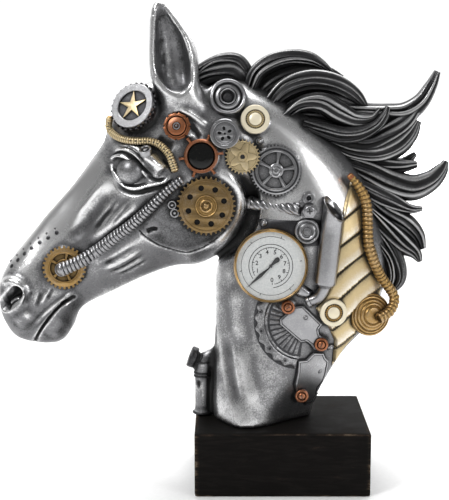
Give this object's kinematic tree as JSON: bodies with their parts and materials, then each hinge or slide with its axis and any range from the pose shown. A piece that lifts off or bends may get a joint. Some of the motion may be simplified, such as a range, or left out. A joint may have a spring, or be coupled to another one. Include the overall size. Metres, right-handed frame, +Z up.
{
  "type": "steampunk horse head sculpture",
  "caption": "Cast horse head on a black block plinth, its near side dressed with gears, washers, hoses, a pressure gauge and a pipe.",
  "frame": {"origin": "centre of the plinth's underside", "axes": "+Z up; the horse looks along -X; the dressed near side faces -Y"},
  "size_m": [0.3745, 0.116, 0.3992],
  "materials": {
    "antique_silver": "antique silver paint rubbed back over black, satin",
    "steel": "pewter and steel coloured paint, satin",
    "aged_brass": "aged gold paint, dark in the recesses",
    "pale_brass": "pale gold paint, satin",
    "copper": "copper coloured paint, satin",
    "matt_black": "matt black paint, faintly worn",
    "lens_black": "glossy black",
    "dial_white": "printed dial face, off-white",
    "needle_black": "matt black paint"
  },
  "bodies": {
    "root": {"plinth": "matt_black", "horse_head": "antique_silver", "star_gear": "steel", "star": "aged_brass", "brow_hose": "aged_brass", "cap_nut": "copper", "lens_ring": "copper", "lens": "lens_black", "poll_washer": "steel", "vent_disc": "steel", "temple_washer": "pale_brass", "temple_gear": "pale_brass", "spoked_gear": "steel", "cheek_gear": "aged_brass", "muzzle_gear": "aged_brass", "muzzle_hose": "steel", "twisted_rod": "steel", "spring_disc": "steel", "gauge_bezel": "aged_brass", "gauge_dial": "dial_white", "gauge_needle": "needle_black", "exhaust_pipe": "steel", "neck_guard": "pale_brass", "neck_hose": "aged_brass", "coil_disc": "aged_brass", "neck_washer": "pale_brass", "copper_bolt_1": "copper", "copper_bolt_2": "copper", "copper_bolt_3": "copper"}
  },
  "joints": []
}
